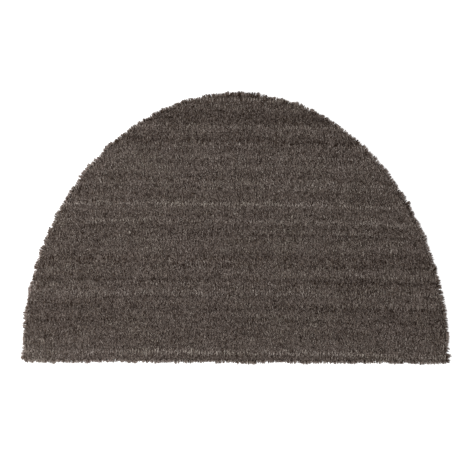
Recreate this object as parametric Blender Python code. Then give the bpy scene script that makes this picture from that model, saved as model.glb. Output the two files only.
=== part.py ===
"""Half-round coir doormat, one solid.

Short coconut fibre stands in a thin vinyl sheet, and the mat is stamped out of both in one cut. The
straight edge lies along X at the low end of Y, the arc is at the high end of Y, and the sheet's
underside lies on Z = 0. The frame's origin is the middle of the mat on the floor.
"""

import math
import random

import bmesh
import bpy
import numpy as np
from mathutils import Vector, geometry, noise

# The mat, in metres: the stamped outline, which the locks of fibre lean over by a little
MAT_WIDTH = 0.796
MAT_DEPTH = 0.5025
MAT_THICKNESS = 0.017
CORNER_RADIUS = 0.006
CORNER_EASE = 0.014

# The vinyl sheet at the foot of the fibre
SHEET_THICKNESS = 0.0025
SHEET_INSET = 0.0040

# The outline is not quite a true half ellipse: slow swells along the rim, each a number of swells
# round the whole outline, how far it moves the rim, and where along the rim it starts
RIM_SWELLS = (
    {"swells": 5, "reach": 0.0006, "start": 0.10},
    {"swells": 11, "reach": 0.0005, "start": 0.63},
    {"swells": 23, "reach": 0.0004, "start": 0.37},
)

# Locks of fibre round the rim, each range from the least to the most; jitter and half width are
# parts of the distance from one lock to the next
LOCK_COUNT = 236
LOCK_JITTER = 0.13
LOCK_HALF_WIDTH = (0.21, 0.32)
LOCK_LEAN = (0.0003, 0.0032)
LOCK_HEIGHT = (0.0146, 0.0168)
LOCK_LENGTH = 0.0105
NOTCH_DEPTH = (0.0008, 0.0026)
NOTCH_DROP = (0.0012, 0.0034)

# The shape of a lock from its root over its top: part of the lock's height, part of its lean, how
# far it is set back into the mat, and part of the drop of the notch beside it
LOCK_LEVELS = (
    {"name": "root", "height": 0.0, "lean": 0.0, "set_back": 0.0022, "drop": 0.0},
    {"name": "belly", "height": 0.50, "lean": 0.55, "set_back": 0.0008, "drop": 0.2},
    {"name": "brow", "height": 0.88, "lean": 1.0, "set_back": 0.0, "drop": 1.0},
    {"name": "crest", "height": 1.0, "lean": 0.6, "set_back": 0.0036, "drop": 0.8},
)

# The trodden top of the pile, in rows across the width
ROW_PITCH = 0.0250
ROW_DEPTH = 0.0011
ROW_WANDER = 0.50
ROW_NOISE_LEVEL = 3.7
LUMP_SIZE = 0.060
LUMP_HEIGHT = 0.0008
POINT_SPACING = 0.0240
POINT_JITTER = 0.20

OUTLINE_STEPS = 720
CORNER_STEPS = 6
SMOOTH_BELOW = math.radians(50)
MERGE_WITHIN = 1e-7
FILL_INSIDE = 1
SEED = 417

COIR_COLOUR = (0.0843, 0.0685, 0.0578, 1.0)
COIR_ROUGHNESS = 0.95
SHEET_COLOUR = (0.0185, 0.0178, 0.0172, 1.0)
SHEET_ROUGHNESS = 0.60


def clear_scene():
    """Remove whatever the scene holds."""
    for item in list(bpy.data.objects):
        bpy.data.objects.remove(item, do_unlink=True)


def matte(name, colour, roughness):
    """A Principled BSDF material with no shine of metal."""
    material = bpy.data.materials.new(name)
    material.use_nodes = True
    shader = material.node_tree.nodes["Principled BSDF"]
    shader.inputs["Base Color"].default_value = colour
    shader.inputs["Roughness"].default_value = roughness
    shader.inputs["Metallic"].default_value = 0.0
    material.diffuse_color = colour
    return material


def half_round():
    """The stamped outline, anticlockwise from the left end of the straight edge."""
    half = MAT_WIDTH / 2
    radius = CORNER_RADIUS
    turn = np.linspace(0.0, math.pi / 2, CORNER_STEPS)
    lift = math.asin(radius / MAT_DEPTH)
    sweep = np.linspace(lift, math.pi - lift, OUTLINE_STEPS)
    right = np.column_stack([half - radius + radius * np.sin(turn), radius - radius * np.cos(turn)])
    arc = np.column_stack([half * np.cos(sweep), MAT_DEPTH * np.sin(sweep)])
    left = np.column_stack([-half + radius - radius * np.cos(turn), radius - radius * np.sin(turn)])
    return np.vstack([right, arc[1:-1], left])


class Rim:
    """The outline by distance along it, with the way out of the mat at each place."""

    def __init__(self):
        loop = half_round()
        closed = np.vstack([loop, loop[:1]])
        runs = np.hypot(*np.diff(closed, axis=0).T)
        self.points = closed
        self.along = np.concatenate([[0.0], np.cumsum(runs)])
        self.length = self.along[-1]

    def place(self, distance):
        """The outline's point at a distance along it."""
        wrapped = distance % self.length
        x = np.interp(wrapped, self.along, self.points[:, 0])
        y = np.interp(wrapped, self.along, self.points[:, 1])
        return Vector((float(x), float(y)))

    def outward(self, distance):
        """The unit direction out of the mat, eased round the two corners."""
        run = self.place(distance + CORNER_EASE) - self.place(distance - CORNER_EASE)
        return Vector((run.y, -run.x)).normalized()

    def swell(self, distance):
        """How far the slow swells move the rim outwards at a distance along it."""
        share = distance / self.length
        return sum(
            row["reach"] * math.sin(2 * math.pi * (row["swells"] * share + row["start"]))
            for row in RIM_SWELLS
        )

    def point(self, distance, out, height):
        """A point in space beside the rim, out of the mat by a given amount."""
        flat = self.place(distance) + self.outward(distance) * (out + self.swell(distance))
        return Vector((flat.x, flat.y, height))


def rim_locks(rim):
    """Where each lock stands, how wide it is, how far it leans and how high its tip is."""
    chance = random.Random(SEED)
    pitch = rim.length / LOCK_COUNT
    locks = []
    for index in range(LOCK_COUNT):
        centre = (index + 0.5 + chance.uniform(-LOCK_JITTER, LOCK_JITTER)) * pitch
        locks.append({
            "centre": centre,
            "half_width": chance.uniform(*LOCK_HALF_WIDTH) * pitch,
            "lean": chance.uniform(*LOCK_LEAN),
            "height": chance.uniform(*LOCK_HEIGHT),
            "notch": chance.uniform(*NOTCH_DEPTH),
            "drop": chance.uniform(*NOTCH_DROP),
        })
    for index, lock in enumerate(locks):
        before = locks[index - 1]["centre"]
        if index == 0:
            before -= rim.length
        lock["notch_at"] = (before + lock["centre"]) / 2
    return locks


def lock_ring(build, rim, locks, level):
    """One ring of the rim's wall: for each lock, the notch before it and its two shoulders."""
    ring = []
    for lock in locks:
        rise = lock["height"] - SHEET_THICKNESS
        height = SHEET_THICKNESS + rise * level["height"]
        out = lock["lean"] * level["lean"] - level["set_back"]
        notch = -lock["notch"] * level["lean"] - level["set_back"]
        notch_height = height - lock["drop"] * level["drop"]
        ring.append(build.verts.new(rim.point(lock["notch_at"], notch, notch_height)))
        for side in (-1, 1):
            spot = lock["centre"] + side * lock["half_width"]
            ring.append(build.verts.new(rim.point(spot, out, height)))
    return ring


def single_ring(build, rim, locks, out, height):
    """A ring with one point for each lock, all at one height."""
    return [build.verts.new(rim.point(lock["centre"], out, height)) for lock in locks]


def join_rings(build, lower, upper):
    """Close the wall between two rings of as many points."""
    faces = []
    for index in range(len(lower)):
        after = (index + 1) % len(lower)
        faces.append(build.faces.new((lower[index], lower[after], upper[after], upper[index])))
    return faces


def join_fan(build, fine, single):
    """Close the strip between a ring of three points a lock and a ring of one point a lock."""
    count = len(single)
    for index in range(count):
        notch, first, second = fine[3 * index:3 * index + 3]
        following = fine[3 * ((index + 1) % count)]
        here = single[index]
        build.faces.new((notch, first, here))
        build.faces.new((first, second, here))
        build.faces.new((second, following, here))
        build.faces.new((following, single[(index + 1) % count], here))


def top_height(x, y):
    """The height of the pile's top, with its cross rows and slow lumps."""
    crown = MAT_THICKNESS - LUMP_HEIGHT / 2
    wander = noise.noise(Vector((x / LUMP_SIZE, y / LUMP_SIZE, ROW_NOISE_LEVEL)))
    furrow = (1 - math.cos(2 * math.pi * y / ROW_PITCH)) / 2
    lump = noise.noise(Vector((x / LUMP_SIZE, y / LUMP_SIZE, 0.0)))
    return crown - ROW_DEPTH * furrow * (1 + ROW_WANDER * wander) + LUMP_HEIGHT * lump / 2


def top_points(rim, clearance):
    """A staggered lattice of points on the top, on the crowns and in the furrows of its rows."""
    chance = random.Random(SEED + 1)
    half = MAT_WIDTH / 2
    columns = math.ceil(half / POINT_SPACING)
    points = []
    for line in range(1, math.ceil(MAT_DEPTH / (ROW_PITCH / 2))):
        y = line * ROW_PITCH / 2
        shift = POINT_SPACING / 2 * (line % 2)
        for column in range(-columns, columns + 1):
            x = column * POINT_SPACING + shift
            x += chance.uniform(-POINT_JITTER, POINT_JITTER) * POINT_SPACING
            gaps = np.hypot(rim.points[:, 0] - x, rim.points[:, 1] - y)
            inside = (x / half) ** 2 + (y / MAT_DEPTH) ** 2 < 1.0
            if inside and gaps.min() > clearance and y > clearance:
                points.append(Vector((x, y)))
    return points


def fill_top(build, rim, ring):
    """Fill the top inside its ring with the lattice of points, as plain triangles."""
    flat = [vert.co.to_2d() for vert in ring]
    flat += top_points(rim, clearance=LOCK_LENGTH + ROW_PITCH / 4)
    border = list(range(len(ring)))
    filled = geometry.delaunay_2d_cdt(flat, [], [border], FILL_INSIDE, MERGE_WITHIN)
    placed, _, triangles, sources = filled[:4]
    verts = []
    for spot, source in zip(placed, sources):
        if source[0] < len(ring):
            verts.append(ring[source[0]])
        else:
            verts.append(build.verts.new((spot.x, spot.y, top_height(spot.x, spot.y))))
    for corners in triangles:
        build.faces.new([verts[corner] for corner in corners])


def mat_mesh():
    """The whole mat as one closed mesh: sheet, rim locks and top."""
    rim = Rim()
    locks = rim_locks(rim)
    build = bmesh.new()
    floor_ring = single_ring(build, rim, locks, -SHEET_INSET, 0.0)
    sheet_ring = single_ring(build, rim, locks, -SHEET_INSET, SHEET_THICKNESS)
    walls = [lock_ring(build, rim, locks, level) for level in LOCK_LEVELS]
    top_ring = single_ring(build, rim, locks, -LOCK_LENGTH, MAT_THICKNESS)
    for vert in top_ring:
        vert.co.z = top_height(vert.co.x, vert.co.y)
    sheet_faces = [build.faces.new(floor_ring)]
    sheet_faces += join_rings(build, floor_ring, sheet_ring)
    join_fan(build, walls[0], sheet_ring)
    for lower, upper in zip(walls, walls[1:]):
        join_rings(build, lower, upper)
    join_fan(build, walls[-1], top_ring)
    fill_top(build, rim, top_ring)
    for face in sheet_faces:
        face.material_index = 1
    bmesh.ops.recalc_face_normals(build, faces=build.faces)
    bmesh.ops.triangulate(build, faces=[face for face in build.faces if len(face.verts) == 4])
    place_on_origin(build)
    mesh = bpy.data.meshes.new("coir_mat")
    build.to_mesh(mesh)
    build.free()
    return mesh


def place_on_origin(build):
    """Move the mesh so that the middle of its base is the frame's origin."""
    spots = np.array([vert.co for vert in build.verts])
    low = spots.min(axis=0)
    high = spots.max(axis=0)
    shift = Vector((-(low[0] + high[0]) / 2, -(low[1] + high[1]) / 2, -low[2]))
    bmesh.ops.translate(build, verts=build.verts, vec=shift)


def build_mat():
    """Make the mat's object, with its coir and its vinyl."""
    mesh = mat_mesh()
    mesh.materials.append(matte("dyed_coir", COIR_COLOUR, COIR_ROUGHNESS))
    mesh.materials.append(matte("vinyl_sheet", SHEET_COLOUR, SHEET_ROUGHNESS))
    mesh.shade_smooth()
    mesh.set_sharp_from_angle(angle=SMOOTH_BELOW)
    mat = bpy.data.objects.new("coir_mat", mesh)
    bpy.context.scene.collection.objects.link(mat)
    return mat


clear_scene()
build_mat()
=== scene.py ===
"""Half-round coir doormat: its fibre pile, its vinyl sheet, and the floor, light and camera round it.

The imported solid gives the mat's place and height. The pile is modelled stalk by stalk, in tufts and rows
as the yarn is set in the sheet. A single coir fibre is 0.2 to 0.4 mm thick, and a mat has several hundred
thousand of them, so each stalk of the pile is drawn about 1 to 1.5 mm thick at its root and stands for
several.
"""

from __future__ import annotations

import logging
import math
from dataclasses import dataclass
from enum import Enum
from functools import cached_property

import bpy
import numpy as np
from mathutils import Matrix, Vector


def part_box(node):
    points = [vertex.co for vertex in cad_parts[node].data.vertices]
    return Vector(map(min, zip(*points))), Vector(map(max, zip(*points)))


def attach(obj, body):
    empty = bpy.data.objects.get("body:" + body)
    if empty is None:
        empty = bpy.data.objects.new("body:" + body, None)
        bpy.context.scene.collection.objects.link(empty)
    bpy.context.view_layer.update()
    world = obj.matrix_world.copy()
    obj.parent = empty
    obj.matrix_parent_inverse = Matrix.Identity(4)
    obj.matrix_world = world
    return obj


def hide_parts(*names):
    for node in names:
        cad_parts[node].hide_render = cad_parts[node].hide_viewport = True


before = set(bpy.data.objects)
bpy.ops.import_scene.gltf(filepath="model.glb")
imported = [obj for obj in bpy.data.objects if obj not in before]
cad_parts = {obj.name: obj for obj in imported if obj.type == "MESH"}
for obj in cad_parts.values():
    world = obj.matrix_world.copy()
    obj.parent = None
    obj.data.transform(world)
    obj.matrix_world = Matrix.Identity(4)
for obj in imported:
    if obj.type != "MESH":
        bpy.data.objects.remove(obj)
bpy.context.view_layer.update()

log = logging.getLogger("doormat")

MM = 0.001
SOLID = "coir_mat"
TONE_SEED = 231
LEAN_SEED = 4
Array = np.ndarray

# The colour sockets of a Mix node go by number, because its other sockets have the same names.
MIX_A = 6
MIX_B = 7
MIX_RESULT = 2


class Dye(Enum):
    """The shades that one dye bath leaves on coconut fibre, the painted shade of the pile's depth, and the
    two casts that drift over them.
    """

    # Painted shade: stalks are mixed towards this colour down to their roots, and the packed foot is mixed
    # up from it, for the shade deep in the pile.
    SHADED = "#1B0C00"
    DEEP = "#1E0E01"
    DULL = "#4E4034"
    BODY = "#897D76"
    WORN = "#9D968F"
    BARE = "#C0B9B3"
    GREYED = "#8D817B"
    GREYED_TIP = "#A39C97"
    OLIVE_CAST = "#FFFFEC"
    PLUM_CAST = "#FFF2FA"


class Wear(Enum):
    """How worn the fibre is: the place of each shade on the way from the darkest stalk to the lightest."""

    FIELD = ((0.0, Dye.DEEP), (0.24, Dye.DULL), (0.48, Dye.BODY), (0.85, Dye.WORN), (1.0, Dye.BARE))
    RIM = ((0.0, Dye.DEEP), (0.24, Dye.DULL), (0.48, Dye.GREYED), (0.85, Dye.GREYED_TIP), (1.0, Dye.BARE))


def linear(hex_value: str) -> tuple[float, float, float, float]:
    """Turn an sRGB hex value into the linear colour that a shader reads.

    Args:
        hex_value: A colour written as #RRGGBB.

    Returns:
        Red, green and blue in linear light, and a full alpha.
    """
    parts = [int(hex_value[at:at + 2], 16) / 255 for at in (1, 3, 5)]
    turned = [p / 12.92 if p <= 0.04045 else ((p + 0.055) / 1.055) ** 2.4 for p in parts]
    return (turned[0], turned[1], turned[2], 1.0)


def add_node(
    tree: bpy.types.NodeTree,
    kind: str,
    inputs: dict[str | int, object] | None = None,
    **settings: object,
) -> bpy.types.Node:
    """Add one node to a tree, set it, and join its inputs.

    Args:
        tree: The node tree to add to.
        kind: The node's type in Blender.
        inputs: For an input's name or number, the value it holds or the socket that feeds it.
        settings: The node's own properties.

    Returns:
        The new node.
    """
    node = tree.nodes.new(kind)
    for name, value in settings.items():
        setattr(node, name, value)
    for key, value in (inputs or {}).items():
        if isinstance(value, bpy.types.NodeSocket):
            tree.links.new(value, node.inputs[key])
        else:
            node.inputs[key].default_value = value
    return node


def bare_material(name: str) -> tuple[bpy.types.Material, bpy.types.NodeTree]:
    """Start a material with no nodes.

    Args:
        name: The material's name.

    Returns:
        The material and its node tree.
    """
    material = bpy.data.materials.new(name)
    material.use_nodes = True
    material.node_tree.nodes.clear()
    return material, material.node_tree


def place_object(name: str, mesh: bpy.types.Mesh, material: bpy.types.Material) -> bpy.types.Object:
    """Put a mesh into the scene with its material.

    Args:
        name: The object's name.
        mesh: Its mesh, in the frame's own metres.
        material: The material that it wears all over.

    Returns:
        The new object.
    """
    mesh.materials.append(material)
    piece = bpy.data.objects.new(name, mesh)
    bpy.context.scene.collection.objects.link(piece)
    return piece


def mesh_from(name: str, spots: Array, corners: Array, uv: Array | None = None) -> bpy.types.Mesh:
    """Make a mesh of triangles from arrays.

    Args:
        name: The mesh's name.
        spots: Its points, one row each.
        corners: Its triangles, as three point numbers a row.
        uv: Where each point lies on the mesh's map, if it brings one.

    Returns:
        The new mesh, smooth all over.
    """
    mesh = bpy.data.meshes.new(name)
    mesh.vertices.add(len(spots))
    mesh.vertices.foreach_set("co", spots.astype(np.float32).ravel())
    mesh.loops.add(corners.size)
    mesh.loops.foreach_set("vertex_index", corners.astype(np.int32).ravel())
    mesh.polygons.add(len(corners))
    mesh.polygons.foreach_set("loop_start", np.arange(0, corners.size, 3, dtype=np.int32))
    mesh.update(calc_edges=True)
    if uv is not None:
        layer = mesh.uv_layers.new(name="OFBake", do_init=False)
        layer.uv.foreach_set("vector", uv[corners.ravel()].astype(np.float32).ravel())
    mesh.shade_smooth()
    return mesh


def flat_map(spots: Array) -> Array:
    """Map a flat body as it is seen from above, with its longer side from 0 to 1."""
    plan = spots[:, :2] - spots[:, :2].min(axis=0)
    return plan / plan.max()


def eased(share: Array) -> Array:
    """Turn an even climb from 0 to 1 into one that starts and ends level."""
    return share * share * (3 - 2 * share)


def skewed(chance: np.random.Generator, skew: float, size: int | tuple[int, ...]) -> Array:
    """Draw chance values about zero, of spread one, with more of a tail towards the dark.

    Args:
        chance: The source of chance.
        skew: How even they are: a small value gives a long tail, a large one hardly any.
        size: How many to draw.

    Returns:
        The values.
    """
    return (skew - chance.gamma(skew, 1.0, size)) / math.sqrt(skew)


@dataclass(frozen=True)
class HalfRound:
    """The stamped outline in plan, and places along it.

    Waves round the mat keep the cut line from being quite true. Chance gives each its height and place,
    and the shorter a wave is, the lower.
    """

    width: float = 796 * MM
    depth: float = 502.5 * MM
    corner_radius: float = 6 * MM
    corner_steps: int = 8
    corner_ease: float = 14 * MM
    steps: int = 1440
    waves: int = 19
    wave_height: float = 0.6 * MM
    wave_fall: float = 0.5
    seed: int = 15428

    @cached_property
    def front(self) -> float:
        """The Y of the straight edge, with the solid's locks standing out alike front and back."""
        low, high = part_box(SOLID)
        return low[1] + (high[1] - low[1] - self.depth) / 2

    def loop(self) -> Array:
        """Work out the closed outline, anticlockwise from the right end of the straight edge.

        Returns:
            The outline's points, the first of them again at the end.
        """
        half = self.width / 2
        radius = self.corner_radius
        turn = np.linspace(0.0, math.pi / 2, self.corner_steps)
        lift = math.asin(radius / self.depth)
        sweep = np.linspace(lift, math.pi - lift, self.steps)
        right = np.column_stack([half - radius + radius * np.sin(turn), radius - radius * np.cos(turn)])
        arc = np.column_stack([half * np.cos(sweep), self.depth * np.sin(sweep)])
        left = np.column_stack([radius - half - radius * np.cos(turn), radius - radius * np.sin(turn)])
        points = np.vstack([right, arc[1:-1], left, right[:1]])
        return points + (0.0, self.front)

    def inside(self, x: Array, y: Array, margin: float) -> Array:
        """Tell which places lie inside the outline by at least a margin.

        Args:
            x: The places' X.
            y: The places' Y.
            margin: How far inside they have to be.

        Returns:
            True for each place inside.
        """
        up = y - self.front
        share = (x / (self.width / 2 - margin)) ** 2 + (up / (self.depth - margin)) ** 2
        return (share < 1.0) & (up > margin)

    def depth_in(self, x: Array, y: Array) -> Array:
        """Tell how far inside the outline places lie, measured towards its middle or its straight edge.

        Args:
            x: The places' X.
            y: The places' Y.

        Returns:
            The depth of each place.
        """
        up = y - self.front
        share = np.hypot(x / (self.width / 2), up / self.depth)
        return np.minimum(np.hypot(x, up) * (1 / share - 1), up)

    def along(self, distances: Array) -> tuple[Array, Array]:
        """Find places on the outline and the way out of the mat there.

        Args:
            distances: Distances along the outline, which may run past its end.

        Returns:
            The places, and the unit directions outwards, eased round the corners.
        """
        points = self.loop()
        runs = np.concatenate([[0.0], np.cumsum(np.hypot(*np.diff(points, axis=0).T))])

        def at(where: Array) -> Array:
            """The outline's points at distances along it."""
            columns = [np.interp(where % runs[-1], runs, points[:, axis]) for axis in (0, 1)]
            return np.column_stack(columns)

        ahead = at(distances + self.corner_ease) - at(distances - self.corner_ease)
        out = np.column_stack([ahead[:, 1], -ahead[:, 0]])
        out /= np.linalg.norm(out, axis=1)[:, None]
        return at(distances) + out * self.swell(distances / runs[-1])[:, None], out

    def swell(self, turns: Array) -> Array:
        """How far the cut line stands out from the plain shape.

        Args:
            turns: Places round the outline, from 0 to 1.

        Returns:
            The distance outwards at each place.
        """
        chance = np.random.default_rng(self.seed)
        cycles = np.arange(1, self.waves + 1)
        heights = self.wave_height * cycles ** -self.wave_fall * chance.normal(0, 1, self.waves)
        lags = chance.uniform(0, 1, self.waves)
        angles = 2 * math.pi * (np.multiply.outer(turns, cycles) + lags)
        return np.cos(angles) @ heights

    def length(self) -> float:
        """How far it is round the outline."""
        return float(np.hypot(*np.diff(self.loop(), axis=0).T).sum())

    def evenly(self, count: int) -> tuple[Array, Array]:
        """Evenly spaced places round the outline, and the way out of the mat at each."""
        return self.along(np.arange(count) / count * self.length())


@dataclass(frozen=True)
class RowLine:
    """How a row runs across the mat: it falls a little to the right and sags a little towards both ends."""

    fall: float = 0.012
    sag: float = 0.032

    def sunk(self, x: Array) -> Array:
        """How far below its height at the mat's middle a row lies."""
        return self.fall * x + self.sag * x * x


@dataclass(frozen=True)
class Streaks:
    """Slow change over the pile, in streaks along the rows, as the yarn of each row came out.

    Each layer of chance is how far a value carries along the rows and across them, and how strong it is.
    """

    line: RowLine
    seed: int
    layers: tuple[tuple[float, float, float], ...] = (
        (1400 * MM, 7 * MM, 1.00),
        (420 * MM, 7 * MM, 0.45),
        (110 * MM, 6.5 * MM, 0.25),
        (500 * MM, 60 * MM, 0.10),
    )
    field: tuple[int, int] = (80, 160)
    field_middle: float = 40.0

    def chance_at(self, x: Array, level: Array, length: float, width: float, number: int) -> Array:
        """Read smooth chance values, from about -1 to 1.

        Args:
            x: The places' X.
            level: How far up among the rows they lie.
            length: How far a value carries along the rows.
            width: How far it carries across them.
            number: Which chance field to read.

        Returns:
            The value at each place.
        """
        heights = np.random.default_rng((self.seed, number)).normal(0.0, 1.0, self.field)
        across = x / length + self.field_middle
        up = level / width + self.field_middle
        i = np.floor(across).astype(int)
        j = np.floor(up).astype(int)
        u = eased(across - i)
        v = eased(up - j)
        low = heights[i, j] * (1 - u) + heights[i + 1, j] * u
        high = heights[i, j + 1] * (1 - u) + heights[i + 1, j + 1] * u
        return low * (1 - v) + high * v

    def at(self, x: Array, up: Array) -> Array:
        """Read the change at some places.

        Args:
            x: The places' X.
            up: How far they are from the straight edge.

        Returns:
            The change, about zero and of a spread near one.
        """
        level = up + self.line.sunk(x)
        total = np.zeros(len(x))
        for number, (length, width, share) in enumerate(self.layers):
            total += share * self.chance_at(x, level, length, width, number)
        return total


@dataclass(frozen=True)
class Crown:
    """The height of the pile's top, with the furrows between its bands of rows."""

    top: float = 16.9 * MM
    band_pitch: float = 25 * MM
    furrow_depth: float = 0.9 * MM

    def height(self, up: Array) -> Array:
        """The top's height at distances from the straight edge."""
        return self.top - self.furrow_depth * (1 - np.cos(2 * math.pi * up / self.band_pitch)) / 2


@dataclass
class Strands:
    """Stalks made together, each three-sided and narrowing to its tip.

    Every stalk has a path of places from its root to its tip, a radius at each place but the last, a tone
    from 0, the darkest, to 1, and a spin round its own length. They share the rises, which say how far
    from root to tip each place counts in the finish's painted shade towards the root, and a level way that
    no stalk runs along.
    """

    paths: Array
    radii: Array
    tones: Array
    spins: Array
    rises: Array
    level: tuple[float, float, float] = (0.0, 1.0, 0.0)
    sides: int = 3
    cell_margin: float = 0.15

    def spots(self) -> Array:
        """Work out every stalk's points.

        Returns:
            For each stalk, three points round each place on its path but the last, then its tip.
        """
        ways = np.gradient(self.paths, axis=1)[:, :-1]
        ways /= np.linalg.norm(ways, axis=2, keepdims=True)
        side = np.cross(ways, np.array(self.level))
        side /= np.linalg.norm(side, axis=2, keepdims=True)
        other = np.cross(ways, side)
        thirds = np.arange(self.sides) * 2 * math.pi / self.sides
        turn = self.spins[:, None, None, None] + thirds[None, None, :, None]
        round_it = np.cos(turn) * side[:, :, None] + np.sin(turn) * other[:, :, None]
        rings = self.paths[:, :-1, None] + self.radii[:, :, None, None] * round_it
        return np.concatenate([rings.reshape(len(rings), -1, 3), self.paths[:, -1:]], axis=1)

    def corners(self) -> Array:
        """The triangles of one stalk, by point number.

        Returns:
            The triangles: a cap over the root, the sides, and a fan up to the tip.
        """
        rings = self.radii.shape[1]
        faces = [(2, 1, 0)]
        for ring in range(rings - 1):
            for side in range(self.sides):
                a = self.sides * ring + side
                b = self.sides * ring + (side + 1) % self.sides
                faces += [(a, b, b + self.sides), (a, b + self.sides, a + self.sides)]
        last = self.sides * (rings - 1)
        tip = last + self.sides
        faces += [(last + side, last + (side + 1) % self.sides, tip) for side in range(self.sides)]
        return np.array(faces)

    def cells(self) -> Array:
        """Give each stalk its own small cell on the map, with its length up the cell.

        Returns:
            The place of each stalk's points on the map.
        """
        count, rings = self.radii.shape
        across = math.ceil(math.sqrt(count))
        sides = range(self.sides)
        places = [((side + 0.5) / self.sides, ring / rings) for ring in range(rings) for side in sides]
        places.append((0.5, 1.0))
        inner = self.cell_margin + (1 - 2 * self.cell_margin) * np.array(places)
        cell = np.column_stack([np.arange(count) % across, np.arange(count) // across])
        return (cell[:, None] + inner[None]) / across

    def mesh(self, name: str) -> bpy.types.Mesh:
        """Make the stalks as one mesh, with each one's tone and its rise on its points.

        Args:
            name: The mesh's name.

        Returns:
            The mesh.
        """
        spots = self.spots()
        count, each = spots.shape[:2]
        corners = self.corners()[None] + np.arange(count)[:, None, None] * each
        made = mesh_from(name, spots.reshape(-1, 3), corners.reshape(-1, 3), self.cells().reshape(-1, 2))
        tone = made.attributes.new("tone", "FLOAT", "POINT")
        tone.data.foreach_set("value", np.repeat(self.tones, each).astype(np.float32))
        rise = made.attributes.new("rise", "FLOAT", "POINT")
        rises = np.repeat(self.rises, self.sides)[:each]
        rise.data.foreach_set("value", np.tile(rises, count).astype(np.float32))
        return made


@dataclass(frozen=True)
class DyedCoir:
    """Coir, the husk fibre of the coconut, dyed grey-brown in the yarn and cut across.

    Its woody, rough skin hardly shines. The dye takes unevenly, so the eye sees fine light and dark flecks,
    and from any side the same dull grey-brown. Each stalk is also painted darker towards its root: painted
    shade, for the shade that falls deep in the pile.
    """

    wear: Wear = Wear.FIELD
    ior: float = 1.53
    metallic: float = 0.0
    roughness: float = 0.74
    specular: float = 0.1
    # Painted shade: the share of the stalk's own colour that is left at its root.
    painted_shade_root_share: float = 0.50
    patch_size: float = 70 * MM
    patch_detail: float = 2.0
    patch_strength: float = 0.6

    def make(self) -> bpy.types.Material:
        """Build the material: the fibre's tone picks its shade, and a painted shade darkens it towards its
        root.

        Returns:
            The material.
        """
        material, tree = bare_material(f"dyed_coir_{self.wear.name.lower()}")
        tone = add_node(tree, "ShaderNodeAttribute", attribute_name="tone", attribute_type="GEOMETRY")
        shade = add_node(tree, "ShaderNodeValToRGB", {"Fac": tone.outputs["Fac"]})
        ramp = shade.color_ramp
        for place, _ in self.wear.value[1:-1]:
            ramp.elements.new(place)
        for element, (place, dye) in zip(ramp.elements, self.wear.value):
            element.position = place
            element.color = linear(dye.value)
        spot = add_node(tree, "ShaderNodeTexCoord")
        patch = add_node(
            tree,
            "ShaderNodeTexNoise",
            {"Vector": spot.outputs["Object"], "Scale": 1 / self.patch_size, "Detail": self.patch_detail},
        )
        warm = add_node(
            tree,
            "ShaderNodeMix",
            {
                "Factor": patch.outputs["Fac"],
                MIX_A: linear(Dye.PLUM_CAST.value),
                MIX_B: linear(Dye.OLIVE_CAST.value),
            },
            data_type="RGBA",
        )
        tinted = add_node(
            tree,
            "ShaderNodeMix",
            {"Factor": self.patch_strength, MIX_A: shade.outputs["Color"], MIX_B: warm.outputs[MIX_RESULT]},
            data_type="RGBA",
            blend_type="MULTIPLY",
        )
        # Painted shade: the colour is mixed towards the dark painted shade colour down to each stalk's root,
        # for the shade deep in the pile.
        along = add_node(tree, "ShaderNodeAttribute", attribute_name="rise", attribute_type="GEOMETRY")
        rise = add_node(
            tree,
            "ShaderNodeMapRange",
            {"Value": along.outputs["Fac"], "To Min": self.painted_shade_root_share, "To Max": 1.0},
        )
        shaded = add_node(
            tree,
            "ShaderNodeMix",
            {
                "Factor": rise.outputs["Result"],
                MIX_A: linear(Dye.SHADED.value),
                MIX_B: tinted.outputs[MIX_RESULT],
            },
            data_type="RGBA",
        )
        shader = add_node(
            tree,
            "ShaderNodeBsdfPrincipled",
            {
                "Base Color": shaded.outputs[MIX_RESULT],
                "Metallic": self.metallic,
                "Roughness": self.roughness,
                "IOR": self.ior,
                "Specular IOR Level": self.specular,
            },
        )
        add_node(tree, "ShaderNodeOutputMaterial", {"Surface": shader.outputs["BSDF"]})
        return material


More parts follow.
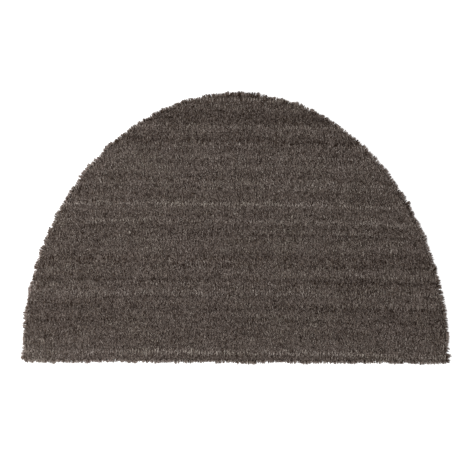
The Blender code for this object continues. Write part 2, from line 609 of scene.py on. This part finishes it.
@dataclass(frozen=True)
class PackedCoir:
    """The same dyed coir where it is packed fibre against fibre, seen only between the stalks.

    Little light comes in and none comes back as a shine. That shade is painted into its colour, which rises
    from the dark painted shade colour and is painted darker still in the seams between its upright bundles.
    Its bundles are drawn 1.5 mm wide: a single fibre, at 0.3 mm, is a sixth of a pixel in the picture.
    """

    ior: float = 1.53
    metallic: float = 0.0
    roughness: float = 0.9
    bundle_width: float = 1.5 * MM
    stretch: tuple[float, float, float] = (1.15, 0.6, 0.12)
    darkest: float = 0.0
    lightest: float = 0.90
    # Painted shade: how much darker the seams between bundles are painted, and how far that darkening
    # reaches.
    painted_seam_shade: float = 0.9
    painted_seam_reach: float = 0.7
    bump_height: float = 0.8 * MM
    bump_strength: float = 0.6

    def make(self) -> bpy.types.Material:
        """Build the material: upright bundles, each its own shade, all darkened by painted shade and darker
        still between them.

        Returns:
            The material.
        """
        material, tree = bare_material("packed_coir_foot")
        spot = add_node(tree, "ShaderNodeTexCoord")
        drawn_out = add_node(
            tree,
            "ShaderNodeMapping",
            {"Vector": spot.outputs["Object"], "Scale": self.stretch},
        )
        stalks = add_node(
            tree,
            "ShaderNodeTexVoronoi",
            {"Vector": drawn_out.outputs["Vector"], "Scale": 1 / self.bundle_width, "Randomness": 1.0},
        )
        own = add_node(tree, "ShaderNodeSeparateColor", {"Color": stalks.outputs["Color"]})
        own_shade = add_node(
            tree,
            "ShaderNodeMapRange",
            {"Value": own.outputs["Red"], "To Min": self.darkest, "To Max": self.lightest},
        )
        # Painted shade: darker in the seams between the bundles, where shade falls among the packed fibre.
        painted_seam_shade = add_node(
            tree,
            "ShaderNodeMapRange",
            {
                "Value": stalks.outputs["Distance"],
                "From Max": self.painted_seam_reach,
                "To Min": 1.0,
                "To Max": 1 - self.painted_seam_shade,
            },
        )
        lit = add_node(
            tree,
            "ShaderNodeMath",
            {0: own_shade.outputs["Result"], 1: painted_seam_shade.outputs["Result"]},
            operation="MULTIPLY",
        )
        # Painted shade: the foot is mixed from the dark painted shade colour towards the body shade.
        shade = add_node(
            tree,
            "ShaderNodeMix",
            {"Factor": lit.outputs["Value"], MIX_A: linear(Dye.SHADED.value), MIX_B: linear(Dye.BODY.value)},
            data_type="RGBA",
        )
        grained_surface(tree, self, shade.outputs[MIX_RESULT], stalks.outputs["Distance"])
        return material


@dataclass(frozen=True)
class CastVinyl:
    """Soft PVC, spread on a belt and set round the roots of the fibre.

    It is near black, and the belt leaves it a fine pebbled grain, which gives the eye a broad, dull sheen.
    The real grain is about 0.5 mm wide, and is drawn at 1.6 mm so that it shows at all.
    """

    colour: str = "#232120"
    worn: str = "#34312F"
    ior: float = 1.53
    metallic: float = 0.0
    roughness: float = 0.58
    grain_width: float = 1.6 * MM
    bump_height: float = 0.15 * MM
    bump_strength: float = 0.5

    def make(self) -> bpy.types.Material:
        """Build the material: a fine pebbled grain with slightly greyer high spots.

        Returns:
            The material.
        """
        material, tree = bare_material("cast_vinyl")
        spot = add_node(tree, "ShaderNodeTexCoord")
        grain = add_node(
            tree,
            "ShaderNodeTexVoronoi",
            {"Vector": spot.outputs["Object"], "Scale": 1 / self.grain_width},
            feature="SMOOTH_F1",
        )
        shade = add_node(
            tree,
            "ShaderNodeMix",
            {"Factor": grain.outputs["Distance"], MIX_A: linear(self.worn), MIX_B: linear(self.colour)},
            data_type="RGBA",
        )
        grained_surface(tree, self, shade.outputs[MIX_RESULT], grain.outputs["Distance"])
        return material


def grained_surface(
    tree: bpy.types.NodeTree,
    finish: PackedCoir | CastVinyl,
    colour: bpy.types.NodeSocket,
    depth: bpy.types.NodeSocket,
) -> None:
    """End a material whose grain stands out of its surface.

    Args:
        tree: The material's node tree.
        finish: The finish whose values it takes.
        colour: What gives its colour.
        depth: What says how far each spot lies below the top of the grain.
    """
    bump = add_node(
        tree,
        "ShaderNodeBump",
        {"Height": depth, "Distance": finish.bump_height, "Strength": finish.bump_strength},
        invert=True,
    )
    shader = add_node(
        tree,
        "ShaderNodeBsdfPrincipled",
        {
            "Base Color": colour,
            "Metallic": finish.metallic,
            "Roughness": finish.roughness,
            "IOR": finish.ior,
            "Normal": bump.outputs["Normal"],
        },
    )
    add_node(tree, "ShaderNodeOutputMaterial", {"Surface": shader.outputs["BSDF"]})


def stacked_rings(rings: list[Array]) -> tuple[Array, Array]:
    """Close a body from rings of as many points each, with a fan over its first and its last ring.

    Args:
        rings: The rings from the middle of the underside to the middle of the top.

    Returns:
        The body's points and its triangles.
    """
    count = len(rings[0])
    spots = np.vstack([*rings, rings[0].mean(axis=0), rings[-1].mean(axis=0)])
    bottom = len(rings) * count
    top = bottom + 1
    here = np.arange(count)
    after = (here + 1) % count
    faces = [np.column_stack([after, here, np.full(count, bottom)])]
    for ring in range(len(rings) - 1):
        below = ring * count
        above = below + count
        faces.append(np.column_stack([below + here, below + after, above + after]))
        faces.append(np.column_stack([below + here, above + after, above + here]))
    last = (len(rings) - 1) * count
    faces.append(np.column_stack([last + here, last + after, np.full(count, top)]))
    return spots, np.vstack(faces)


@dataclass
class VinylSheet:
    """The thin sheet that the fibre stands in, a little inside the pile's rim."""

    plan: HalfRound
    thickness: float = 2.5 * MM
    inset: float = 4 * MM
    rim_points: int = 472
    rounding: float = 0.4 * MM
    inner_share: float = 0.5
    sharp_angle: float = math.radians(40)

    def build(self, finish: bpy.types.Material) -> bpy.types.Object:
        """Make the sheet with its cut edge just softened.

        Args:
            finish: The vinyl.

        Returns:
            The sheet.
        """
        places, out = self.plan.evenly(self.rim_points)
        middle = places.mean(axis=0)
        rows = (
            (self.inner_share, 0.0, 0.0),
            (1.0, -self.rounding, 0.0),
            (1.0, 0.0, self.rounding),
            (1.0, 0.0, self.thickness - self.rounding),
            (1.0, -self.rounding, self.thickness),
            (self.inner_share, 0.0, self.thickness),
        )
        rings = []
        for share, outwards, height in rows:
            rim = places + out * (outwards - self.inset)
            flat = middle + (rim - middle) * share
            rings.append(np.column_stack([flat, np.full(len(flat), height)]))
        spots, faces = stacked_rings(rings)
        mesh = mesh_from("vinyl_sheet", spots, faces, flat_map(spots))
        mesh.set_sharp_from_angle(angle=self.sharp_angle)
        return place_object("vinyl_sheet", mesh, finish)


@dataclass
class PileFoot:
    """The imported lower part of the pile, which closes it between its stalks.

    Its profile is how high each step of its wall is, and how far inside the outline. The wall stays behind
    the stalks of the rim.
    """

    plan: HalfRound
    profile: tuple[tuple[float, float], ...] = (
        (2.6 * MM, 4.2 * MM),
        (6.5 * MM, 3.2 * MM),
        (9.5 * MM, 2.6 * MM),
        (11.2 * MM, 3.4 * MM),
    )
    rim_points: int = 472
    rings: int = 8
    ring_shares: tuple[float, float] = (0.98, 0.08)
    bottom_share: float = 0.5
    middle_up: float = 0.42
    lump: float = 0.5 * MM
    seed: int = 5

    def build(self, finish: bpy.types.Material) -> bpy.types.Object:
        """Make the foot with a lumpy wall and top.

        Args:
            finish: The packed fibre.

        Returns:
            The foot.
        """
        chance = np.random.default_rng(self.seed)
        places, out = self.plan.evenly(self.rim_points)
        middle = np.array([0.0, self.plan.front + self.plan.depth * self.middle_up])
        bottom, bottom_inset = self.profile[0]
        top, top_inset = self.profile[-1]
        wall = [(1.0, height, inset) for height, inset in self.profile]
        inward = [(share, top, top_inset) for share in np.linspace(*self.ring_shares, self.rings)]
        rings = []
        for share, height, inset in [(self.bottom_share, bottom, bottom_inset), *wall, *inward]:
            rough = chance.uniform(-self.lump, self.lump, (len(places), 2)) * share
            rim = places - out * (inset + rough[:, :1])
            flat = middle + (rim - middle) * share
            levels = height + rough[:, 1] * (height > bottom)
            rings.append(np.column_stack([flat, levels]))
        spots, faces = stacked_rings(rings)
        return place_object("pile_foot", mesh_from("pile_foot", spots, faces, flat_map(spots)), finish)


@dataclass
class PileRows:
    """The pile's field: tufts in rows across the width, each of a few plies of stalks.

    A pair of sizes is the one along X, the way that the rows run, and the one along Y, and a pair named
    chance says how the drops are spread. A ply's stalks share its tone, and the rows lean a little to and
    fro, which opens thin dark lines between them. Near the rim the tips are painted a little paler: painted
    light against the shade that falls along the rim.
    """

    plan: HalfRound
    crown: Crown
    line: RowLine
    tone_streaks: Streaks
    lean_streaks: Streaks
    row_pitch: float = 5.6 * MM
    tuft_pitch: float = 5.15 * MM
    fibres: int = 19
    plies: int = 6
    row_wave: float = 0.4 * MM
    wave_length: float = 310 * MM
    pitch_change: float = 0.07
    jitter: tuple[float, float] = (0.1 * MM, 0.6 * MM)
    fibre_spread: tuple[float, float] = (0.3 * MM, 0.6 * MM)
    ply_spread: tuple[float, float] = (0.9 * MM, 1.35 * MM)
    splay: tuple[float, float] = (0.2, 0.4)
    wander: tuple[float, float] = (0.15 * MM, 1.2 * MM)
    row_lean: float = 1.25 * MM
    root_height: float = 8.5 * MM
    tip_drop: float = 1.2 * MM
    tuft_drop: float = 2.6 * MM
    radius: float = 0.76 * MM
    margin: float = 0.6 * MM
    gap_share: float = 0.02
    spare_rows: int = 2
    spare_tufts: int = 8
    tuft_share: float = 0.6
    tuft_drop_chance: tuple[float, float] = (0.8, 3.0)
    tip_drop_chance: tuple[float, float] = (1.2, 2.5)
    off_limit: float = 2.0
    thickness_change: float = 0.25
    tone_mean: float = 0.338
    streak_tone: float = 0.19
    tuft_tone: float = 0.08
    ply_tone: float = 0.38
    skew: float = 5.0
    fibre_tone: float = 0.12
    bare_share: float = 0.03
    bare_tone: tuple[float, float] = (0.15, 0.45)
    # Painted light: how much paler the tips are painted at the rim, and how far in it reaches.
    rim_painted_light: float = 0.12
    rim_painted_light_depth: float = 12 * MM
    pieces: int = 5
    seed: int = 11

    def tufts(self, chance: np.random.Generator) -> Array:
        """Set out the tufts.

        Args:
            chance: The source of chance.

        Returns:
            For each tuft its X, Y, lean along X and Y, drop and tone.
        """
        rows = math.ceil((self.plan.depth + self.line.sunk(self.plan.width / 2)) / self.row_pitch) + 1
        count = math.ceil(self.plan.width / self.tuft_pitch) + self.spare_tufts
        found = []
        for row in range(-self.spare_rows, rows):
            spaces = 1 + chance.normal(0, self.pitch_change, count)
            x = (np.cumsum(spaces) - spaces.sum() / 2 + chance.uniform(0, 1)) * self.tuft_pitch
            x += chance.normal(0, self.jitter[0], count)
            wave = self.row_wave * np.sin(2 * math.pi * (x / self.wave_length + chance.uniform(0, 1)))
            up = (row + 0.5) * self.row_pitch - self.line.sunk(x) + wave
            y = self.plan.front + up + chance.normal(0, self.jitter[1], count)
            found.append(np.column_stack([x, y]))
        x, y = np.vstack(found).T
        kept = self.plan.inside(x, y, self.margin) & (chance.uniform(0, 1, len(x)) > self.gap_share)
        x, y = x[kept], y[kept]
        up = y - self.plan.front
        tone = self.streak_tone * self.tone_streaks.at(x, up) + chance.normal(0, self.tuft_tone, len(x))
        # Painted light: tufts near the rim are made paler, against the shade that falls along the rim.
        tone += self.rim_painted_light * (1 - self.plan.depth_in(x, y) / self.rim_painted_light_depth).clip(0, 1)
        lean_x = chance.normal(0, self.wander[0] * self.tuft_share, len(x))
        lean_y = self.row_lean * self.lean_streaks.at(x, up)
        lean_y += chance.normal(0, self.wander[1] * self.tuft_share, len(x))
        drop = self.tuft_drop * chance.beta(*self.tuft_drop_chance, len(x))
        return np.column_stack([x, y, lean_x, lean_y, drop, tone])

    def strands(self, tufts: Array, chance: np.random.Generator) -> Strands:
        """Grow the stalks of some tufts.

        Args:
            tufts: The tufts, as tufts() gives them.
            chance: The source of chance.

        Returns:
            The stalks.
        """
        x, y, lean_x, lean_y, drop, tone = np.repeat(tufts, self.fibres, axis=0).T
        count = len(x)
        plies = chance.normal(0, 1, (len(tufts), self.plies, 3))
        plies[:, :, 2] = skewed(chance, self.skew, plies.shape[:2])
        ply = plies[:, np.arange(self.fibres) % self.plies].reshape(count, 3)
        off = chance.normal(0, 1, (count, 2)).clip(-self.off_limit, self.off_limit)
        off *= np.array(self.fibre_spread)
        off += ply[:, :2] * np.array(self.ply_spread)
        bend = off * np.array(self.splay) + chance.normal(0, 1, (count, 2)) * np.array(self.wander)
        bend += np.column_stack([lean_x, lean_y])
        root = np.column_stack([x, y]) + off
        tip_z = self.crown.height(y - self.plan.front) - drop
        tip_z -= self.tip_drop * chance.beta(*self.tip_drop_chance, count)
        foot = np.column_stack([root, np.full(count, self.root_height)])
        tip = np.column_stack([root + bend, tip_z])
        tones = self.tone_mean + tone + ply[:, 2] * self.ply_tone + chance.normal(0, self.fibre_tone, count)
        tones += (chance.uniform(0, 1, count) < self.bare_share) * chance.uniform(*self.bare_tone, count)
        return Strands(
            paths=np.stack([foot, tip], axis=1),
            radii=self.radius * (1 + self.thickness_change * chance.uniform(-1, 1, (count, 1))),
            tones=tones.clip(0, 1),
            spins=chance.uniform(0, 2 * math.pi, count),
            rises=np.array([0.0, 1.0]),
        )

    def build(self, finish: bpy.types.Material) -> list[bpy.types.Object]:
        """Make the field in a few pieces, front to back, so that no mesh grows too large.

        Args:
            finish: The fibre.

        Returns:
            The pieces.
        """
        chance = np.random.default_rng(self.seed)
        tufts = self.tufts(chance)
        tufts = tufts[np.argsort(tufts[:, 1])]
        made = []
        for number, share in enumerate(np.array_split(tufts, self.pieces), start=1):
            name = f"pile_rows_{number}"
            made.append(place_object(name, self.strands(share, chance).mesh(name), finish))
        return made


@dataclass
class RimTufts:
    """The tufts along the cut rim: nothing holds them outside, so they lean out over it, each its own way.

    Distances along the rim run anticlockwise from the right end of the straight edge, and reaches are
    counted outwards from the stamped outline. The stalks that stand deepest in the mat lean least, so
    that the tips fill the rim from the first rows to its edge. A few tufts stand proud, one of them just
    above the right corner.
    """

    plan: HalfRound
    crown: Crown
    tone_streaks: Streaks
    pitch: float = 5.1 * MM
    plies: int = 5
    fibres: int = 18
    jitter: float = 0.15
    root_half_width: float = 2.2 * MM
    tip_half_width: float = 2.9 * MM
    ply_half_width: float = 0.8 * MM
    crossing: float = 0.7 * MM
    root_height: float = 2.3 * MM
    root_depth: tuple[float, float] = (2.4 * MM, 6.8 * MM)
    reach: float = 4.7 * MM
    tuft_change: float = 1.2 * MM
    ply_change: float = 0.45 * MM
    ragged: float = 0.20 * MM
    neighbour_pull: float = 0.6
    pull_limits: tuple[float, float] = (-2.0, 2.2)
    proud_count: int = 12
    proud_reach: tuple[float, float] = (6.2 * MM, 7.6 * MM)
    corner_tuft: float = 15 * MM
    corner_reach: float = 8 * MM
    ply_jitter: float = 0.3
    rounding: float = 0.3 * MM
    spread: float = 7.0 * MM
    spread_power: float = 2.2
    tuft_drop: float = 1.4 * MM
    ply_drop: float = 1.6 * MM
    tip_drop: float = 1.5 * MM
    tip_drop_chance: tuple[float, float] = (1.3, 2.0)
    radius: float = 0.50 * MM
    thickness_change: float = 0.25
    tone_mean: float = 0.44
    streak_tone: float = 0.05
    tuft_tone: float = 0.05
    ply_tone: float = 0.15
    skew: float = 1.7
    fibre_tone: float = 0.10
    seed: int = 23

    def tuft_places(self, chance: np.random.Generator) -> tuple[Array, Array]:
        """Set the tufts round the rim.

        Args:
            chance: The source of chance.

        Returns:
            Each tuft's distance along the rim, and how far out it reaches.
        """
        count = round(self.plan.length() / self.pitch)
        pitch = self.plan.length() / count
        middle = (np.arange(count) + 0.5 + chance.uniform(-self.jitter, self.jitter, count)) * pitch
        pull = chance.normal(0, 1, count)
        pull += self.neighbour_pull * (np.roll(pull, 1) + np.roll(pull, -1))
        pull /= math.sqrt(1 + 2 * self.neighbour_pull ** 2)
        out_to = self.reach + self.tuft_change * pull.clip(*self.pull_limits)
        proud = chance.choice(count, self.proud_count, replace=False)
        out_to[proud] = chance.uniform(*self.proud_reach, self.proud_count)
        out_to[np.argmin(np.abs(middle - self.corner_tuft))] = self.corner_reach
        return middle, out_to

    def strands(self, chance: np.random.Generator) -> Strands:
        """Grow the tufts along the whole rim.

        Args:
            chance: The source of chance.

        Returns:
            The stalks.
        """
        middle, out_to = self.tuft_places(chance)
        tufts = len(middle)
        tuft_drop = chance.uniform(0, self.tuft_drop, tufts)
        tuft_tone = chance.normal(0, self.tuft_tone, tufts)
        tuft = np.repeat(np.arange(tufts), self.plies)
        slots = (np.arange(self.plies) * 2 + 1) / self.plies - 1
        ply_beside = np.tile(slots, tufts)
        ply_beside += chance.uniform(-self.ply_jitter, self.ply_jitter, len(tuft)) / self.plies
        ply_out = out_to[tuft] + chance.normal(0, self.ply_change, len(tuft))
        ply_depth = chance.uniform(*self.root_depth, len(tuft))
        ply_drop = tuft_drop[tuft] + chance.uniform(0, self.ply_drop, len(tuft))
        ply_tone = tuft_tone[tuft] + self.ply_tone * skewed(chance, self.skew, len(tuft))

        ply = np.repeat(np.arange(len(tuft)), self.fibres)
        total = len(ply)
        beside = ply_beside[ply]
        aside = chance.uniform(-1, 1, total) * self.ply_half_width
        root_at, root_out = self.plan.along(middle[tuft[ply]] + beside * self.root_half_width + aside)
        aside += chance.normal(0, self.crossing, total)
        tip_at, tip_out = self.plan.along(middle[tuft[ply]] + beside * self.tip_half_width + aside)
        depth = ply_depth[ply] + chance.uniform(-0.5, 0.5, total) * self.ply_half_width
        root = root_at - root_out * depth[:, None]
        deep = ((depth - self.root_depth[0]) / (self.root_depth[1] - self.root_depth[0])).clip(0, 1)
        shorter = beside ** 2 * self.rounding + self.spread * deep ** self.spread_power
        out = ply_out[ply] + chance.normal(0, self.ragged, total) - shorter
        tip = tip_at + tip_out * out[:, None]
        up = tip[:, 1] - self.plan.front
        tip_z = self.crown.height(up) - ply_drop[ply]
        tip_z -= self.tip_drop * chance.beta(*self.tip_drop_chance, total)
        paths = np.stack(
            [
                np.column_stack([root, np.full(total, self.root_height)]),
                np.column_stack([tip, tip_z]),
            ],
            axis=1,
        )
        tone = self.tone_mean + ply_tone[ply] + self.streak_tone * self.tone_streaks.at(tip[:, 0], up)
        return Strands(
            paths=paths,
            radii=self.radius * (1 + self.thickness_change * chance.uniform(-1, 1, (total, 1))),
            tones=(tone + chance.normal(0, self.fibre_tone, total)).clip(0, 1),
            spins=chance.uniform(0, 2 * math.pi, total),
            rises=np.array([0.0, 1.0]),
        )

    def build(self, finish: bpy.types.Material) -> bpy.types.Object:
        """Make the tufts as one piece.

        Args:
            finish: The fibre.

        Returns:
            The tufts.
        """
        strands = self.strands(np.random.default_rng(self.seed))
        return place_object("rim_tufts", strands.mesh("rim_tufts"), finish)


@dataclass
class LooseBristles:
    """Single long stalks that have worked out of the pile and lie on it or stand out over the rim."""

    plan: HalfRound
    crown: Crown
    on_top: int = 90
    over_rim: int = 60
    length: tuple[float, float] = (5 * MM, 13 * MM)
    rim_length: tuple[float, float] = (5 * MM, 9 * MM)
    clear_of_rim: float = 20 * MM
    rim_start: float = 3.5 * MM
    rim_swing: float = 0.7
    curl: float = 0.5
    sunk: float = 1.6 * MM
    arch: tuple[float, float] = (0.0, 0.8 * MM)
    rim_droop: tuple[float, float] = (0.5 * MM, 6 * MM)
    radius: float = 0.30 * MM
    radius_change: tuple[float, float] = (0.8, 1.2)
    tip_radius: float = 0.7
    steps: int = 5
    spare: int = 3
    tones: tuple[float, float] = (0.35, 0.9)
    # Loose stalks lie on top of the pile, so they take only the lighter half of the painted shade towards
    # the root.
    rises: tuple[float, float] = (0.5, 1.0)
    seed: int = 31

    def build(self, finish: bpy.types.Material) -> bpy.types.Object:
        """Make all the loose stalks as one piece.

        Args:
            finish: The fibre.

        Returns:
            The loose stalks.
        """
        chance = np.random.default_rng(self.seed)
        total = self.on_top + self.over_rim
        way = chance.uniform(0, 2 * math.pi, total)
        long = chance.uniform(*self.length, total)
        x = chance.uniform(-0.5, 0.5, total * self.spare) * self.plan.width
        y = self.plan.front + chance.uniform(0, 1, total * self.spare) * self.plan.depth
        kept = np.flatnonzero(self.plan.inside(x, y, self.clear_of_rim))[:self.on_top]
        rim_at, rim_out = self.plan.along(chance.uniform(0, self.plan.length(), self.over_rim))
        rim_at = rim_at - rim_out * self.rim_start
        outwards = np.arctan2(rim_out[:, 1], rim_out[:, 0])
        way[self.on_top:] = outwards + chance.normal(0, self.rim_swing, self.over_rim)
        long[self.on_top:] = chance.uniform(*self.rim_length, self.over_rim)
        start = np.vstack([np.column_stack([x[kept], y[kept]]), rim_at])
        turn = chance.normal(0, self.curl, total)
        shares = np.linspace(0, 1, self.steps)
        ways = way[:, None] + turn[:, None] * shares[None]
        step = long[:, None] / (self.steps - 1)
        run = np.stack([np.cos(ways) * step, np.sin(ways) * step], axis=2)
        run[:, 0] = 0.0
        flat = start[:, None] + np.cumsum(run, axis=1)
        base = self.crown.height(start[:, 1] - self.plan.front)
        arch = np.sin(math.pi * shares)[None] * chance.uniform(*self.arch, (total, 1))
        height = base[:, None] - self.sunk + arch
        height[self.on_top:] -= shares[None] * chance.uniform(*self.rim_droop, (self.over_rim, 1))
        narrow = np.linspace(1.0, self.tip_radius, self.steps - 1)
        strands = Strands(
            paths=np.concatenate([flat, height[:, :, None]], axis=2),
            radii=self.radius * chance.uniform(*self.radius_change, (total, 1)) * narrow,
            tones=chance.uniform(*self.tones, total),
            spins=chance.uniform(0, 2 * math.pi, total),
            rises=np.linspace(*self.rises, self.steps),
            level=(0.0, 0.0, 1.0),
        )
        return place_object("loose_bristles", strands.mesh("loose_bristles"), finish)


@dataclass
class Studio:
    """The pale floor, the soft light and the camera straight above.

    The values in px are the mat's width and the middle of its box in the picture's own 470 by 470 frame.
    """

    plan: HalfRound
    lens: float = 135.0
    photo_width: int = 470
    mat_width_px: float = 426.2
    mat_middle_px: tuple[float, float] = (235.66, 227.75)
    seen_width_extra: float = 2.4 * MM
    roll: float = math.radians(0.23)
    tip_plane: float = 14 * MM
    floor_size: float = 30.0
    floor_below: float = 0.02 * MM
    floor_colour: str = "#F4F4F4"
    floor_roughness: float = 0.9
    floor_specular: float = 0.1
    floor_glow: float = 0.62
    white: str = "#FFFFFF"
    sky: float = 0.78
    lamp_place: tuple[float, float, float] = (-1.1, -0.35, 2.4)
    lamp_size: float = 1.2
    lamp_power: float = 70.0

    def floor(self) -> None:
        """Lay a plain white floor that glows a little, as a light table does, so that no shadow shows."""
        material, tree = bare_material("studio_floor")
        shader = add_node(
            tree,
            "ShaderNodeBsdfPrincipled",
            {
                "Base Color": linear(self.floor_colour),
                "Roughness": self.floor_roughness,
                "Specular IOR Level": self.floor_specular,
                "Emission Color": linear(self.white),
                "Emission Strength": self.floor_glow,
            },
        )
        add_node(tree, "ShaderNodeOutputMaterial", {"Surface": shader.outputs["BSDF"]})
        half = self.floor_size / 2
        low = -self.floor_below
        spots = np.array([(-half, -half, low), (half, -half, low), (half, half, low), (-half, half, low)])
        mesh = mesh_from("studio_floor", spots, np.array([(0, 1, 2), (0, 2, 3)]))
        place_object("studio_floor", mesh, material)

    def light(self) -> None:
        """Light the mat from all round, with a large soft lamp from the left and above."""
        world = bpy.data.worlds.new("studio_light")
        world.use_nodes = True
        sky = world.node_tree.nodes["Background"]
        sky.inputs["Color"].default_value = linear(self.white)
        sky.inputs["Strength"].default_value = self.sky
        bpy.context.scene.world = world
        lamp = bpy.data.lights.new("soft_lamp", "AREA")
        lamp.shape = "SQUARE"
        lamp.size = self.lamp_size
        lamp.energy = self.lamp_power
        holder = bpy.data.objects.new("soft_lamp", lamp)
        holder.location = self.lamp_place
        aim = Vector((0.0, 0.0, 0.0)) - holder.location
        holder.rotation_euler = aim.to_track_quat("-Z", "Y").to_euler()
        holder.visible_camera = False
        bpy.context.scene.collection.objects.link(holder)

    def camera(self) -> None:
        """Hang the camera where the mat fills the frame as it does in the picture."""
        metres_per_px = (self.plan.width + self.seen_width_extra) / self.mat_width_px
        data = bpy.data.cameras.new("camera")
        data.lens = self.lens
        frame_width = metres_per_px * self.photo_width
        distance = frame_width * self.lens / data.sensor_width
        centre = self.photo_width / 2
        camera = bpy.data.objects.new("camera", data)
        camera.location = (
            (centre - self.mat_middle_px[0]) * metres_per_px,
            (self.mat_middle_px[1] - centre) * metres_per_px,
            distance + self.tip_plane,
        )
        camera.rotation_euler = (0.0, 0.0, self.roll)
        bpy.context.scene.collection.objects.link(camera)
        bpy.context.scene.camera = camera

    def view(self) -> None:
        """Show the light as it is, with no film curve."""
        bpy.context.scene.view_settings.view_transform = "Standard"


def fasten(piece: bpy.types.Object) -> None:
    """Let a piece ride on the mat's body and stand for its solid.

    Args:
        piece: The piece.
    """
    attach(piece, "root")
    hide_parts(SOLID)


def main() -> None:
    """Build the mat and its studio, piece by piece."""
    logging.basicConfig(level=logging.INFO, format="%(name)s: %(message)s")
    plan = HalfRound()
    crown = Crown()
    studio = Studio(plan)
    studio.camera()
    studio.light()
    studio.floor()
    studio.view()
    fibre = DyedCoir().make()
    worn_fibre = DyedCoir(wear=Wear.RIM).make()
    sheet = VinylSheet(plan).build(CastVinyl().make())
    line = RowLine()
    tone_streaks = Streaks(line, TONE_SEED)
    foot = PileFoot(plan).build(PackedCoir().make())
    rows = PileRows(plan, crown, line, tone_streaks, Streaks(line, LEAN_SEED)).build(fibre)
    rim = RimTufts(plan, crown, tone_streaks).build(worn_fibre)
    loose = LooseBristles(plan, crown).build(fibre)
    pile = [foot, *rows, rim, loose]
    fasten(sheet)
    for piece in pile:
        fasten(piece)
    for piece in [sheet, *pile]:
        log.info("%s: %d faces", piece.name, len(piece.data.polygons))


if __name__ == "__main__":
    main()
